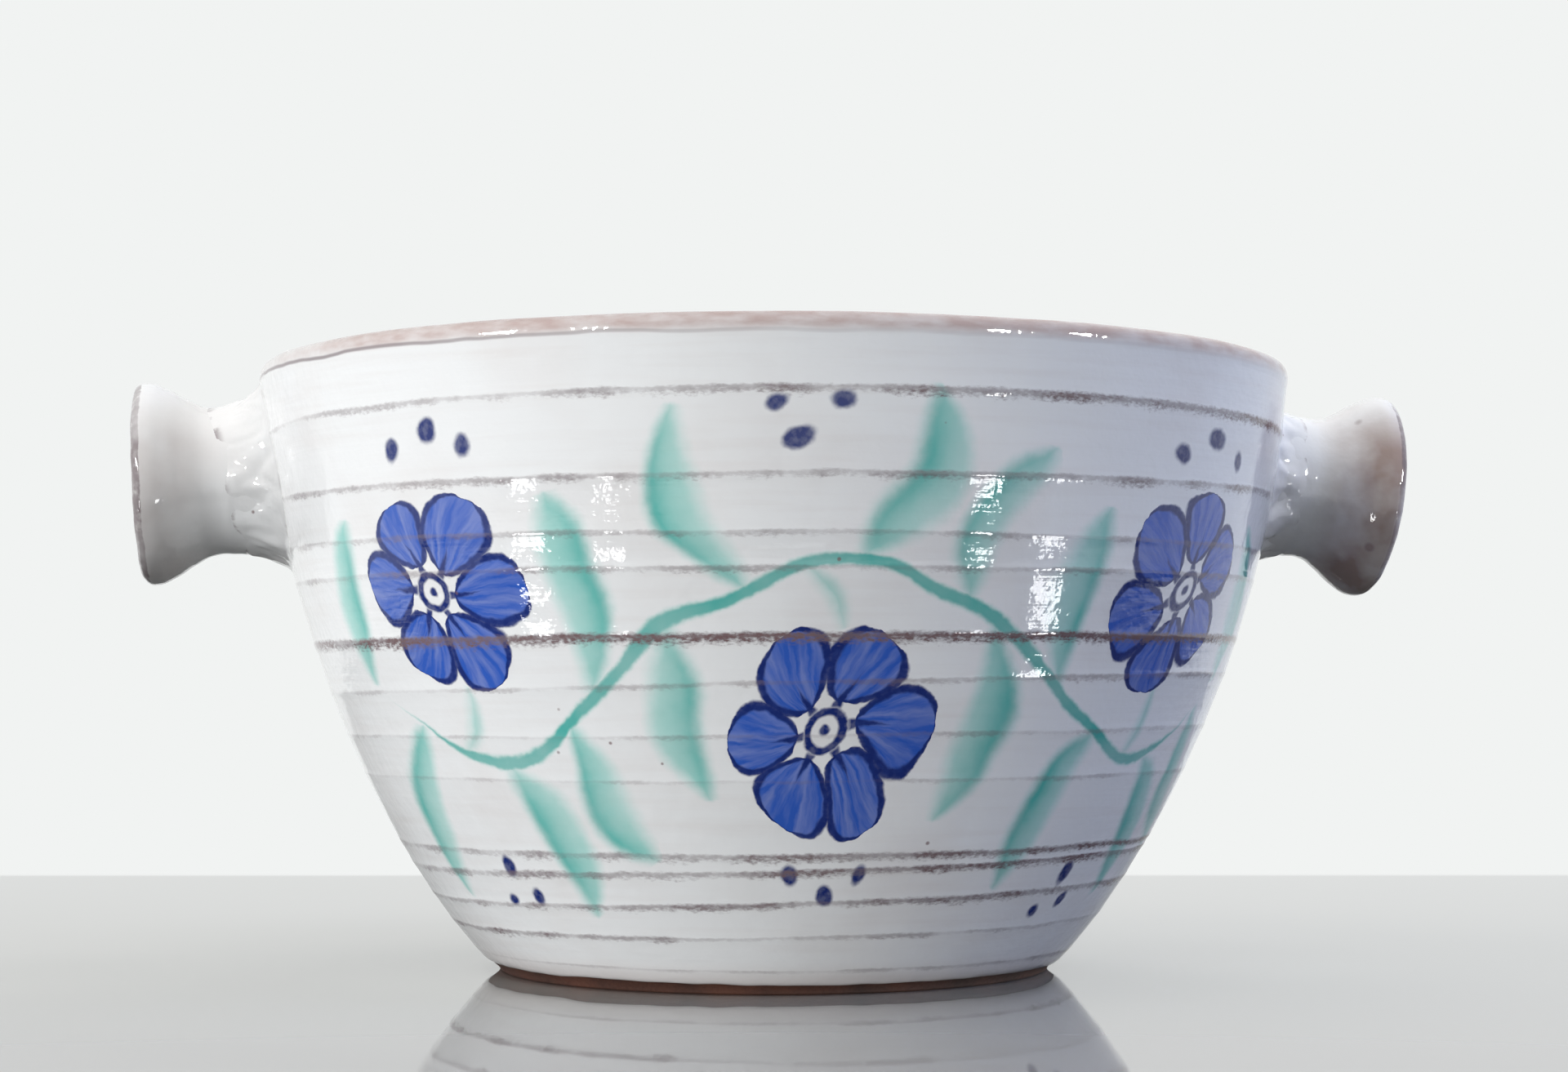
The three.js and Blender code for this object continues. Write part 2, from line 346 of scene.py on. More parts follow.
def throw_form(name, rows, tree, **inputs):
    """Turns a profile by Geometry Nodes and gives the finished piece as a plain mesh."""
    profile = bpy.data.meshes.new(name + "_profile")
    profile.from_pydata([r["place"] for r in rows], [(i, i + 1) for i in range(len(rows) - 1)], [])
    for mark in ROW_SHAPES + ROW_MARKS:
        layer = profile.attributes.new(mark, "FLOAT", "POINT")
        layer.data.foreach_set("value", [r.get(mark, 0.0) for r in rows])
    carrier = placed(name + "_profile", profile)
    turning = carrier.modifiers.new("thrown_form", "NODES")
    turning.node_group = tree
    for item in tree.interface.items_tree:
        if item.in_out == "INPUT" and item.name in inputs:
            turning[item.identifier] = inputs[item.name]
    depsgraph = bpy.context.evaluated_depsgraph_get()
    made = bpy.data.meshes.new_from_object(carrier.evaluated_get(depsgraph), preserve_all_data_layers=True,
                                           depsgraph=depsgraph)
    made.name = name
    bpy.data.objects.remove(carrier)
    bpy.data.meshes.remove(profile)
    return placed(name, made)


def blend(a, b, share):
    return a + (b - a) * share


def smooth(share):
    held = min(max(share, 0.0), 1.0)
    return held * held * (3 - 2 * held)


def cubic(points, share):
    """A place on the curve that four control points give."""
    a, b, c, d = points
    rest = 1 - share
    return a * rest ** 3 + b * (3 * rest * rest * share) + c * (3 * rest * share * share) + d * share ** 3


class WallCurve:
    """The bowl's outer wall: low and flat at the foot, nearly upright at the rim."""
    FOOT_FLARE, FOOT_PULL = radians(28), 10.6 * MM
    RIM_LEAN, RIM_PULL = radians(4.7), 62.4 * MM

    def __init__(self, sizes):
        self.sizes = sizes
        foot = Vector((sizes.foot_radius, 0))
        rim = Vector((sizes.rim_radius, sizes.height - sizes.wall / 2))
        foot_way = Vector((cos(self.FOOT_FLARE), sin(self.FOOT_FLARE)))
        rim_way = Vector((sin(self.RIM_LEAN), cos(self.RIM_LEAN)))
        self.points = (foot, foot + foot_way * self.FOOT_PULL, rim - rim_way * self.RIM_PULL, rim)

    def at(self, place):
        return cubic(self.points, place)

    def place(self, height):
        """Place along the curve, from 0 to 1, at a height above the foot."""
        low, high = 0.0, 1.0
        for _ in range(40):
            middle = (low + high) / 2
            if self.at(middle).y < height:
                low = middle
            else:
                high = middle
        return low

    def radius(self, height):
        return self.at(self.place(height)).x

    def slope(self, height):
        """How fast the wall widens with height."""
        near = 0.2 * MM
        low = max(height - near, 0)
        return (self.radius(height + near) - self.radius(low)) / (height + near - low)

    def inside(self, place):
        """The inner wall beside a place of the curve."""
        along = (self.at(place + 1e-4) - self.at(place - 1e-4)).normalized()
        return self.at(place) + Vector((-along.y, along.x)) * self.sizes.wall


def foot_rows(sizes, curve):
    """Under the bowl, out from the middle: recess, foot ring and its worn edge, all bare clay."""
    ring_inside = sizes.foot_radius - sizes.foot_ring
    slope, edge = 1.5 * MM, 0.7 * MM
    recess = (0, ring_inside * 0.5, ring_inside - slope * 2)
    rows = [row(radius, sizes.foot_recess, bare=1) for radius in recess]
    for share in shares(4):
        rows.append(row(blend(ring_inside - slope, ring_inside, share),
                        sizes.foot_recess * (1 - smooth(share)), bare=1))
    rows.append(row(ring_inside + sizes.foot_ring * 0.5, 0, bare=1))
    for share in shares(4):
        turn = pi / 2 * share
        rows.append(row(curve.radius(edge) - sizes.glaze_step + edge * (sin(turn) - 1),
                        edge * (1 - cos(turn)), bare=1, outside=1))
    return rows


def glaze_edge_rows(sizes, curve):
    """The wavy edge of the glaze: a rounded roll that stands up from the bare clay."""
    # Shares of the glaze's thickness, millimetres over its edge, and whether the clay is bare there
    roll = ((0, -0.15, 1), (0.1, -0.05, 1), (0.65, 0.0, 0), (1.1, 0.3, 0), (1.25, 0.8, 0), (1.1, 1.5, 0))
    rows = []
    for out, up, bare in roll:
        height = sizes.glaze_edge + up * MM
        rows.append(row(curve.radius(height) - sizes.glaze_step * (1 - out), height, bare=bare, outside=1,
                        wave=0.45 * MM, tilt=-0.3 * MM, give=0.2, slope=curve.slope(height),
                        ring_below=max(RINGS[0][0] - height / MM, 0)))
    return rows


def ring_wall_rows(sizes, curve):
    """The outside wall, band by band: a ridge at each throwing ring and a shallow hollow between."""
    rim_side = (sizes.height - sizes.wall / 2) / MM - 0.6
    rings = [*RINGS, (rim_side, 0.05, 0.0, 0.0, 0.0)]
    full_band, waver = 8, 0.3 * MM
    rows = []
    for lower, upper in zip(rings, rings[1:]):
        band = upper[0] - lower[0]
        near = [d / band for d in RING_ROWS if d < band * 0.3]
        middle = [s for s in BAND_ROWS if s > near[-1]]
        for share in near + middle + [1 - s for s in reversed(near) if s > 0]:
            height, tilt, sway = (blend(a, b, share) * MM for a, b in zip(lower[:3], upper))
            closest = min(share, 1 - share) * band
            swell = math.exp(-(closest / RING_HALF_WIDTH) ** 2)
            hollow = sin(pi * share) * min(1.0, band / full_band)
            slope = curve.slope(height)
            reach = band * math.hypot(1, slope)
            # On a ring the bands over and under it meet, and both are that ring's
            over, to_over = (lower, 0.0) if share == 0 else (upper, (1 - share) * reach)
            rows.append(row(
                curve.radius(height) - sizes.hollow * hollow, height, outside=1, give=1,
                ridge=sizes.ridge * swell, tilt=tilt, sway=sway, wave=waver, slope=slope,
                ring_above=share * reach, power_above=lower[3], lean_above=lower[4],
                ring_below=to_over, power_below=over[3], lean_below=over[4]))
    return rows


def rim_rows(sizes):
    """The rounded rim, a little flattened by the wet leather it was finished with."""
    half, flattened, faint = sizes.wall / 2, 0.92, 0.2
    rows = []
    for share in shares(14):
        turn = pi * share
        rows.append(row(sizes.rim_radius - half + half * cos(turn),
                        sizes.height - half + half * sin(turn) ** flattened,
                        outside=1 - share, give=0.8, wave=0.12 * MM, power_above=faint, power_below=faint))
    return rows


def inside_rows(sizes, curve):
    """The inner wall with faint finger ridges, the sweep at its foot, and the floor."""
    sweep_place = curve.place(sizes.floor + 16 * MM)
    spacing, finger, spiral, tilt = 9 * MM, 0.16 * MM, 0.22 * MM, 0.8 * MM
    rows = []
    for share in shares(54)[1:]:
        spot = curve.inside(blend(1, sweep_place, share))
        ripple = cos(TURN * spot.y / spacing) * finger * smooth(share * 9)
        rows.append(row(spot.x + ripple, spot.y, give=1, tilt=tilt * smooth(share * 5.4), wave=0.2 * MM,
                        slope=curve.slope(spot.y)))
    top = curve.inside(sweep_place)
    lean = (curve.inside(sweep_place + 1e-3) - top).normalized()
    corner = Vector((top.x - (top.y - sizes.floor) * lean.x / lean.y, sizes.floor))
    foot = Vector((corner.x - (corner - top).length, sizes.floor))
    for share in shares(12)[1:]:
        spot = top * (1 - share) ** 2 + corner * (2 * share * (1 - share)) + foot * share ** 2
        rows.append(row(spot.x, spot.y, give=1 - share, tilt=tilt * (1 - share)))
    for share in reversed(shares(14)[:-1]):
        ripple = spiral * cos(TURN * share * 4) * smooth(share * 4)
        rows.append(row(foot.x * share, sizes.floor + ripple))
    return rows


def handle_rows(sizes, lip_radius, root_depth):
    """A spool from its root along the outside, over the lip, down the mouth and back along the bore."""
    half_edge = sizes.lip_edge / 2
    lip_reach = sizes.reach - half_edge
    mouth_reach = sizes.reach - sizes.mouth_depth
    finger, spacing, waver = 0.035 * MM, 3.4 * MM, 0.15 * MM
    rows = []
    for share in shares(44):
        reach = blend(-root_depth, lip_reach, share)
        rows.append(row(handle_radius(sizes, lip_radius, reach), reach, give=1, outside=1, along=reach / MM,
                        ridge=finger * sin(TURN * reach / spacing) * smooth(reach / (8 * MM)),
                        wave=waver * smooth(reach / (20 * MM))))
    for share in shares(12)[1:]:
        turn = pi * share
        rows.append(row(lip_radius - half_edge + half_edge * cos(turn), lip_reach + half_edge * sin(turn),
                        give=1, wave=waver, outside=1 - share, along=sizes.reach / MM))
    for share in shares(20)[1:]:
        reach = blend(lip_reach, mouth_reach, share)
        flare = smooth((reach - mouth_reach) / (lip_reach - mouth_reach))
        radius = blend(sizes.bore_radius, lip_radius - sizes.lip_edge, flare)
        rows.append(row(radius, reach, give=1, wave=waver * (1 - share), along=reach / MM))
    for share in shares(8)[1:]:
        reach = blend(mouth_reach, -root_depth, share)
        rows.append(row(sizes.bore_radius, reach, give=0.4, along=reach / MM))
    rows.append(dict(rows[0]))
    return rows


def handle_radius(sizes, lip_radius, reach):
    """The spool's outside: a soft root, a waist and a flare."""
    lip_reach = sizes.reach - sizes.lip_edge / 2
    if reach < sizes.waist_reach:
        share = (sizes.waist_reach - reach) / sizes.waist_reach
        return blend(sizes.waist_radius, sizes.root_radius, share * share)
    share = (reach - sizes.waist_reach) / (lip_reach - sizes.waist_reach)
    return blend(sizes.waist_radius, lip_radius, smooth(share))


class HandleAxis:
    """Where a handle's axis leaves the wall, and which way it points."""

    def __init__(self, bowl_sizes, sizes, side):
        names = ("_depth", "_droop", "_lip")
        depth, droop, self.lip_radius = (getattr(sizes, side + name) for name in names)
        out = 1 if side == "right" else -1
        height = bowl_sizes.height - depth
        self.start = Vector((out * WallCurve(bowl_sizes).radius(height), 0, height))
        self.turn = Euler((0, out * (pi / 2 + droop), 0))
        self.along = Vector((0, 0, 1))
        self.along.rotate(self.turn)
        self.up = (Vector((0, 0, 1)) - self.along * self.along.z).normalized()
        self.side = self.along.cross(self.up)

    def out(self, angle):
        return self.up * cos(angle) + self.side * sin(angle)


def around_root(angle, top, side, under):
    """A size that changes round a root, from the top over the sides to underneath."""
    up = cos(angle)
    return side + (top - side if up > 0 else under - side) * up * up


def kneaded(angle, size, place):
    """Noise round a root that closes on itself; a larger size varies faster."""
    return noise.noise(Vector((cos(angle) * size, sin(angle) * size, place)))


def surface_tree(piece):
    made = piece.data
    return BVHTree.FromPolygons([v.co for v in made.vertices], [p.vertices for p in made.polygons])


def landed(tree, start, heading, name):
    """Where a straight line from a point first meets a surface, and the surface's normal there."""
    hit, normal, _, _ = tree.ray_cast(start, heading)
    if hit is None:
        raise RuntimeError(name + " misses what it is stuck to")
    return hit, normal


def worked_coil(name, axis, sizes, clay, handle_tree, wall_tree, seed):
    """The clay worked round a root: a hollow fillet from the handle out onto the wall, uneven by hand."""
    around, across = 160, 16
    top_reach, under_reach, top_spread, side_spread, under_spread = (size * MM for size in clay)
    side_reach = (top_reach + under_reach) / 2
    sunk, buried = 0.06 * MM, 0.9 * MM
    points, marks = [], []
    for i in range(around):
        angle = TURN * i / around
        out = axis.out(angle)
        reach = around_root(angle, top_reach, side_reach, under_reach)
        reach *= 1 + 0.14 * kneaded(angle, 1.9, seed * 1.9)
        spread = around_root(angle, top_spread, side_spread, under_spread)
        spread *= 1 + 0.3 * kneaded(angle, 2.1, seed * 2.1 + 5)
        far = axis.start + axis.along * reach + out * sizes.root_radius * 2
        top, _ = landed(handle_tree, far, -out, name)
        above = axis.start + out * (sizes.root_radius + spread) + axis.along * sizes.reach * 1.2
        foot, normal = landed(wall_tree, above, -axis.along, name)
        inwards = (-out - normal * (-out).dot(normal)).normalized()
        first = top - axis.along * reach * 0.5
        second = foot + inwards * (foot - first).length * 0.45
        for share in shares(across):
            place = cubic((top, first, second, foot), share)
            # Millimetres of thumb lumps, finer ones, sharp creases and a collar pushed up the handle
            lump = kneaded(angle, 2.6, share * 1.5 + seed)
            fine = 0.45 * kneaded(angle, 7, share * 3 - seed)
            crease = 0.55 * math.exp(-(kneaded(angle, 1.7, share + seed) / 0.07) ** 2)
            collar = 0.4 * math.exp(-((share - 0.16) / 0.1) ** 2) * max(lump + 0.15, 0)
            swell = (lump + fine - crease + 0.25) * sin(pi * share) ** 1.5 + collar
            sink = (out if share < 0.5 else normal) * sunk * abs(2 * share - 1) ** 6
            points.append(place + (out + axis.along).normalized() * swell * MM - sink)
            marks.append(share)
        # The hidden underside lies in the wall and in the handle
        points.append(foot - normal * buried)
        points.append(axis.start + out * (sizes.root_radius - buried) - axis.along * buried)
        points.append(top - out * buried)
        marks.extend((1.0, 0.5, 0.0))
    ring = across + 4
    faces = []
    for i in range(around):
        here, there = i * ring, (i + 1) % around * ring
        for j in range(ring):
            up = (j + 1) % ring
            faces.append((here + j, here + up, there + up, there + j))
    made = bpy.data.meshes.new(name)
    made.from_pydata(points, [], faces)
    layer = made.attributes.new("along", "FLOAT", "POINT")
    layer.data.foreach_set("value", marks)
    made.polygons.foreach_set("use_smooth", [True] * len(faces))
    for edge in made.edges:
        rows = {vertex % ring for vertex in edge.vertices}
        edge.use_edge_sharp = rows in ({0}, {across})
    return placed(name, made)


# Materials. A noise's scale is one over the size of its clouds in millimetres, and a range gives the
# values it is read between and what they become.

def shader(name):
    """A new material, with its main shader, what adds nodes to it, and Object coordinates in millimetres."""
    material = bpy.data.materials.new(name)
    material.use_nodes = True
    add = partial(add_node, material.node_tree)
    spot = add(VECTOR_MATH, {0: add("ShaderNodeTexCoord", out=3), "Scale": 1 / MM}, operation="SCALE")
    return material, material.node_tree.nodes["Principled BSDF"], add, spot


def brush_leaf_group():
    """A leaf laid down with one stroke of a loaded brush, in millimetres: its mask, and 0 to 1 across it."""
    names = ("X", "Y", "Base X", "Base Y", "Cosine", "Sine", "Length", "Half Width", "Bend")
    group, given, result = new_group("brush_leaf", "ShaderNodeTree", dict.fromkeys(names, NUMBER),
                                     dict.fromkeys(("Mask", "Across"), NUMBER))
    add = partial(add_node, group)
    dx = add("SUBTRACT", [given["X"], given["Base X"]])
    dy = add("SUBTRACT", [given["Y"], given["Base Y"]])
    along = add("MULTIPLY_ADD", [dy, given["Sine"], add("MULTIPLY", [dx, given["Cosine"]])])
    share = add("DIVIDE", [along, given["Length"]])
    side = add("SUBTRACT", [add("MULTIPLY", [dy, given["Cosine"]]), add("MULTIPLY", [dx, given["Sine"]])])
    rest = add("SUBTRACT", [1, share])
    arch = add("MULTIPLY", [add("MULTIPLY", [share, rest]), 4], use_clamp=True)
    bent = add("SUBTRACT", [side, add("MULTIPLY", [arch, given["Bend"]])])
    belly = add("POWER", [arch, 0.8])
    half = add("MULTIPLY", [belly, given["Half Width"]])
    past = add("SUBTRACT", [add("ABSOLUTE", [bent]), half])
    ends = add(RANGE, [arch, 0, 0.12, 2, 0])
    edge = add("ADD", [past, ends])
    mask = add(RANGE, [edge, 1.5, -2.4, 0, 1], **SMOOTHED)
    across = add("MULTIPLY_ADD", [add("DIVIDE", [bent, given["Half Width"]]), 0.5, 0.5], use_clamp=True)
    plug(result, [mask, across])
    return group


def blossom_group():
    """A round, six-petalled blossom about its centre, in millimetres: its petals' wash, and its lines."""
    petal = TURN / 6
    petal_start, petal_end, half_width, eye_radius = 4.2, 18.0, 6.6, 3.1
    group, given, result = new_group("painted_blossom", "ShaderNodeTree",
                                     dict.fromkeys(("X", "Y", "Turn"), NUMBER),
                                     dict.fromkeys(("Wash", "Line"), NUMBER))
    add = partial(add_node, group)
    spot = add(JOIN, [given["X"], given["Y"], 0])
    far = add(VECTOR_MATH, [spot], out=1, operation="LENGTH")
    angle = add("ADD", [add("ARCTAN2", [given["Y"], given["X"]]), given["Turn"]])
    folded = add("FLOORED_MODULO", [angle, petal])
    swing = add("SUBTRACT", [folded, petal / 2])
    along = add("MULTIPLY", [far, add("COSINE", [swing])])
    side = add("MULTIPLY", [far, add("SINE", [swing])])
    apart = add("ABSOLUTE", [side])
    share = add(RANGE, [along, petal_start, petal_end, 0, 1])
    full = add("POWER", [share, 1.5])
    arch = add("MULTIPLY", [add("MULTIPLY", [full, add("SUBTRACT", [1, full])]), 4], use_clamp=True)
    half = add("MULTIPLY", [add("SQRT", [arch]), half_width])
    past = add("ADD", [add("SUBTRACT", [apart, half]), add(RANGE, [arch, 0, 0.1, 2, 0])])
    wash = add(RANGE, [past, 0.5, -0.6, 0, 1], **SMOOTHED)

    # Brush hairs leave streaks that fan out along each petal
    number_of = add("FLOOR", [add("DIVIDE", [angle, petal])])
    fan = add(JOIN, [add("MULTIPLY", [swing, 9]), add("MULTIPLY", [along, 0.09]), number_of])
    hairs = add(NOISE, {"Vector": fan, "Scale": 1.0, "Detail": 3.0})
    streaks = add(RANGE, [hairs, 0.34, 0.62, 0.84, 1.0])
    wash = add("MULTIPLY", [wash, streaks])
    edge = add("ADD", [past, 0.45])
    outline = add(RANGE, [add("ABSOLUTE", [edge]), 1.1, 0.45, 0, 1], **SMOOTHED)
    vein_width = add(RANGE, [along, 4, 13, 0.9, -0.5])
    vein = add(RANGE, [add("SUBTRACT", [apart, vein_width]), 0.25, -0.35, 0, 1], **SMOOTHED)
    in_petal = add("MULTIPLY", [vein, add(RANGE, [along, petal_start - 1, petal_start, 0, 1])])
    ring = add("ABSOLUTE", [add("SUBTRACT", [far, eye_radius])])
    eye = add(RANGE, [ring, 1.0, 0.4, 0, 1], **SMOOTHED)
    dot = add(RANGE, [far, 1.2, 0.6, 0, 1], **SMOOTHED)
    line = add("MAXIMUM", [add("MAXIMUM", [outline, in_petal]), add("MAXIMUM", [eye, dot])])
    plug(result, [wash, line])
    return group


# The running vine. Its stem is a wave round the wall, and each half wave is the last one turned over.
VINE_CELLS = 8
VINE_RADIUS = 85.0
VINE_HEIGHT = 59.0
VINE_SWING = 16.0
VINE_CELL = TURN * VINE_RADIUS / VINE_CELLS
VINE_PHASE = 0.344
HAND_WAVER = 9.0
BLOSSOM_PLACE = (-1.0, -12.5)
# Leaves of one half wave: base x and y, direction in degrees, length, half width and bend, in millimetres
VINE_LEAVES = (
    (-15.0, 12.0, 110, 33, 5.0, 4.0),
    (3.5, 16.0, 70, 31, 5.4, -4.5),
    (20.5, 9.0, 64, 29, 4.6, 3.5),
    (-26.5, 5.0, -82, 31, 4.6, -3.5),
    (25.5, 5.5, -99, 33, 5.0, 3.5),
    (-5.0, 15.5, -66, 13, 1.3, 1.5),
)
# Blue dots dabbed beside the leaves: x, y and radius
VINE_DOTS = ((-5.5, 37.0, 1.9), (-1.0, 42.5, 1.5), (-9.5, 43.5, 1.3), (-7.5, -36.5, 1.7), (1.0, -39.5, 2.0),
             (8.5, -36.0, 1.5))


def painted_vine(add, spot):
    """Adds the brushed vine; gives the masks of leaf wash, its depth, petal wash and cobalt line."""
    around = add(SPLIT, [add("ShaderNodeUVMap", uv_map="UVMap")])
    height = add(SPLIT, [spot], out=2)
    angle = add("SUBTRACT", [around, 0.5])

    # A hand wavers over a few centimetres, and the wet glaze pulls the edge about over a millimetre or two
    waver = add(NOISE, {"Vector": spot, "Scale": 1 / 24, "Detail": 1.0}, out=1)
    pull = add(NOISE, {"Vector": spot, "Scale": 1 / 2.2, "Detail": 3.0}, out=1)
    shift, ragged = (add(VECTOR_MATH, [cloud, (0.5, 0.5, 0.5)], operation="SUBTRACT")
                     for cloud in (waver, pull))
    swayed = add(VECTOR_MATH, {0: shift, "Scale": HAND_WAVER}, operation="SCALE")
    offset = add(SPLIT, [add(VECTOR_MATH, [swayed, ragged], operation="ADD")])
    cells = add("MULTIPLY_ADD", [angle, VINE_CELLS, VINE_PHASE])
    cells = add("MULTIPLY_ADD", [offset, 1 / VINE_CELL, cells])
    cell = add("FLOOR", [cells])
    x = add("MULTIPLY", [add("SUBTRACT", [add("SUBTRACT", [cells, cell]), 0.5]), VINE_CELL])
    odd = add("FLOORED_MODULO", [cell, 2])
    over = add("MULTIPLY_ADD", [odd, -2, 1])
    level = add("SUBTRACT", [height, VINE_HEIGHT])
    level = add("ADD", [level, offset.node.outputs[2]])
    y = add("MULTIPLY", [level, over])
    own = add("ShaderNodeTexWhiteNoise", {"W": add("FLOORED_MODULO", [cell, VINE_CELLS])},
              noise_dimensions="1D")

    # The vine runs in two panels, each three cells long, and leaves the wall under the handles free
    panel_cells, free_cell = 4, 2
    place = add("FLOORED_MODULO", [cell, panel_cells])
    panel = add("SUBTRACT", [1, add("COMPARE", [place, free_cell, 0.5])])
    towards = add("COSINE", [add("MULTIPLY_ADD", [angle, TURN, FRONT_ANGLE])])
    near_handle = add("ABSOLUTE", [towards])
    thin_end = add(RANGE, [near_handle, 0.72, 0.9, 0, 1.9])

    # Stem
    wave = add("MULTIPLY", [x, pi / VINE_CELL])
    steep = add("MULTIPLY", [add("SINE", [wave]), VINE_SWING * pi / VINE_CELL])
    slant = add("SQRT", [add("MULTIPLY_ADD", [steep, steep, 1])])
    stem_y = add("MULTIPLY", [add("COSINE", [wave]), VINE_SWING])
    off_stem = add("ABSOLUTE", [add("SUBTRACT", [y, stem_y])])
    off_stem = add("ADD", [add("DIVIDE", [off_stem, slant]), thin_end])
    stem = add(RANGE, [off_stem, 1.8, 0.6, 0, 1], **SMOOTHED)

    # Leaves
    leaf_group = brush_leaf_group()
    wash = stem
    depth = add("MULTIPLY", [stem, 0.75])
    for base_x, base_y, direction, length, half_width, bend in VINE_LEAVES:
        mask, across = add("ShaderNodeGroup", {
            "X": x, "Y": y, "Base X": base_x, "Base Y": base_y, "Cosine": cos(radians(direction)),
            "Sine": sin(radians(direction)), "Length": length, "Half Width": half_width, "Bend": bend,
        }, node_tree=leaf_group).node.outputs
        wash = add("MAXIMUM", [wash, mask])
        depth = add("MAXIMUM", [depth, add("MULTIPLY", [mask, add("POWER", [across, 1.6])])])

    # Blossom and dots
    petals, line = add("ShaderNodeGroup", {
        "X": add("SUBTRACT", [x, BLOSSOM_PLACE[0]]), "Y": add("SUBTRACT", [y, BLOSSOM_PLACE[1]]),
        "Turn": add("MULTIPLY", [own, TURN])}, node_tree=blossom_group()).node.outputs
    for dot_x, dot_y, radius in VINE_DOTS:
        away = add(JOIN, [add("SUBTRACT", [x, dot_x]), add("SUBTRACT", [y, dot_y]), 0])
        far = add(VECTOR_MATH, [away], out=1, operation="LENGTH")
        dab = add(RANGE, [far, radius + 0.6, radius - 0.5, 0, 1], **SMOOTHED)
        line = add("MAXIMUM", [line, dab])
    wash, petals, line = (add("MULTIPLY", [mask, panel]) for mask in (wash, petals, line))
    return wash, depth, petals, line


# Wall under the roots of the handles, in millimetres
ROOT_HEIGHT = 94.0
WIPED_RADIUS = 12.0
# How far a strong break runs over and under its ring, in millimetres, and how much crumbs eat into it
BREAKS = (("above", 0.4, 0.35), ("below", 1.0, 0.6))


def ring_breaks(add, spot):
    """Where the glaze breaks brown on the throwing rings: crisp over each ring, ragged under it."""
    marks = {name: add("ShaderNodeAttribute", out=2, attribute_name=name) for name in ROW_MARKS}
    around = add(SPLIT, [add("ShaderNodeUVMap", uv_map="UVMap")])
    angle = add("MULTIPLY", [add("SUBTRACT", [around, 0.5]), TURN])
    marks["right"] = right = add("SINE", [angle])

    # Crumbs of about a millimetre, and patches of a centimetre or two that run along the ring
    flat = add(VECTOR_MATH, [spot, (1, 1, 2.2)], operation="MULTIPLY")
    crumbs = add(NOISE, {"Vector": flat, "Scale": 1 / 1.1, "Detail": 3.0, "Roughness": 0.6})
    patches = add(NOISE, {"Vector": flat, "Scale": 1 / 11, "Detail": 4.0})
    crumb = add(RANGE, [crumbs, 0.3, 0.7, -1, 1], clamp=False)
    patch = add(RANGE, [patches, 0.4, 0.6, 0.05, 1.85])
    found = 0.0
    for side, reach, crumbled in BREAKS:
        power = add("MULTIPLY_ADD", [marks["lean_" + side], right, marks["power_" + side]], use_clamp=True)
        patchy = add("MULTIPLY_ADD", [add("SUBTRACT", [1, power]), add("SUBTRACT", [patch, 1]), 1])
        power = add("MULTIPLY", [power, patchy])
        width = add("MULTIPLY_ADD", [power, reach, 0.2])
        ragged = add("MULTIPLY", [crumb, add("MULTIPLY", [width, crumbled])])
        rough = add("ADD", [ragged, marks["ring_" + side]])
        past = add("DIVIDE", [rough, width])
        line = add(RANGE, [past, 1.7, 0.2, 0, 1], **SMOOTHED)
        strong = add("MULTIPLY", [line, add(RANGE, [power, 0.03, 0.95, 0.1, 1.0])])
        found = add("MAXIMUM", [found, strong])
    grain = add(RANGE, [crumbs, 0.35, 0.65, 1.0, 0.8])
    found = add("MULTIPLY", [found, grain])

    # The wall was wiped where the handles were stuck on, so no line runs across the bottom of their bores
    from_root = add(VECTOR_MATH, [spot, (0, 0, ROOT_HEIGHT)], operation="SUBTRACT")
    across = add(VECTOR_MATH, [from_root, (0, 1, 1)], operation="MULTIPLY")
    off_axis = add(VECTOR_MATH, [across], out=1, operation="LENGTH")
    wiped = add(RANGE, [off_axis, WIPED_RADIUS, WIPED_RADIUS + 1, 0, 1])
    return add("MULTIPLY", [found, wiped]), marks


def glaze_skin(add, spot, roughness, striations=False):
    """Gloss of a melted glaze: nearly smooth, with a slow orange peel and the fingers' drag below it."""
    peel = add(NOISE, {"Vector": spot, "Scale": 1 / 2.4, "Detail": 2.0})
    slow = add(NOISE, {"Vector": spot, "Scale": 1 / 14, "Detail": 1.0})
    relief = add("MULTIPLY_ADD", [slow, 1.6, peel])
    if striations:
        drag = add(VECTOR_MATH, [spot, (0.03, 0.03, 0.75)], operation="MULTIPLY")
        fingers = add(NOISE, {"Vector": drag, "Scale": 1.0, "Detail": 3.0})
        relief = add("MULTIPLY_ADD", [fingers, 0.5, relief])
    bump = add("ShaderNodeBump", {"Strength": 0.5, "Distance": 0.19 * MM, "Height": relief})
    matt = add(RANGE, [slow, 0.3, 0.7, roughness * 0.75, roughness * 1.35])
    return {"Normal": bump, "Roughness": matt, "IOR": 1.52}


def white_glaze(add, spot, colours, streaked=False):
    """Tin-white ground: a little greyer and pinker in clouds where it ran thin, and along finger marks."""
    cloud = add(NOISE, {"Vector": spot, "Scale": 1 / 26, "Detail": 3.0})
    thin = add(RANGE, [cloud, 0.48, 0.78, 0, 0.3])
    if streaked:
        drag = add(VECTOR_MATH, [spot, (0.03, 0.03, 0.5)], operation="MULTIPLY")
        fingers = add(NOISE, {"Vector": drag, "Scale": 1.0, "Detail": 3.0})
        thin = add("ADD", [add(RANGE, [fingers, 0.5, 0.75, 0, 0.16]), thin])
    return add(MIX, {SHARE: thin, LOW: colours.glaze, HIGH: colours.glaze_thin}, **BLENDED)


